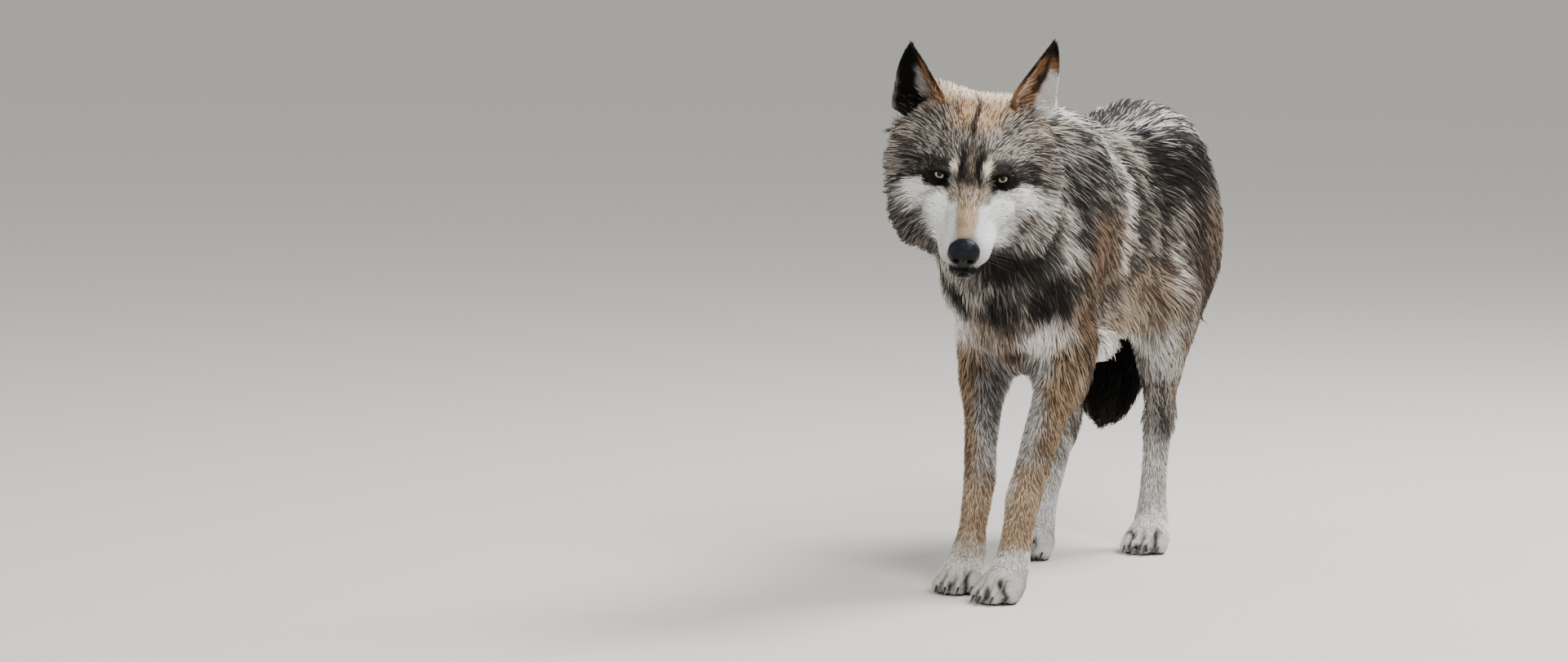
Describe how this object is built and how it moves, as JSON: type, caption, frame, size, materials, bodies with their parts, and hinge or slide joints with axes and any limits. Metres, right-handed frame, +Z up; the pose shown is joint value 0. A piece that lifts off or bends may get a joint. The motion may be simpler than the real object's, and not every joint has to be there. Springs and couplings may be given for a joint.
{
  "type": "grey wolf",
  "caption": "Life-size grey wolf in a thick coat, standing in mid-step with its head lowered and turned a little to its left.",
  "frame": {"origin": "on the floor, below the middle of the box around the whole wolf", "axes": "+Z up, the wolf's body faces -Y, its left side is +X"},
  "size_m": [0.2898, 1.0832, 0.81],
  "materials": {
    "coat": "thick grizzled fur: grey, tawny, black and white guard hairs over a pale underfur",
    "eye": "wet amber iris with a round black pupil under a clear cornea",
    "nose": "moist pebbled black nose leather",
    "claw": "dark horn, worn dull at the tips"
  },
  "bodies": {
    "root": {"head": "coat", "muzzle": "coat", "ear_left": "coat", "ear_right": "coat", "neck": "coat", "trunk": "coat", "tail": "coat", "leg_front_left": "coat", "leg_front_right": "coat", "leg_hind_left": "coat", "leg_hind_right": "coat", "paw_front_left": "coat", "paw_front_right": "coat", "paw_hind_left": "coat", "paw_hind_right": "coat", "eye_left": "eye", "eye_right": "eye", "nose": "nose", "claw_front_left_1": "claw", "claw_front_left_2": "claw", "claw_front_left_3": "claw", "claw_front_left_4": "claw", "claw_front_right_1": "claw", "claw_front_right_2": "claw", "claw_front_right_3": "claw", "claw_front_right_4": "claw", "claw_hind_left_1": "claw", "claw_hind_left_2": "claw", "claw_hind_left_3": "claw", "claw_hind_left_4": "claw", "claw_hind_right_1": "claw", "claw_hind_right_2": "claw", "claw_hind_right_3": "claw", "claw_hind_right_4": "claw"}
  },
  "joints": []
}
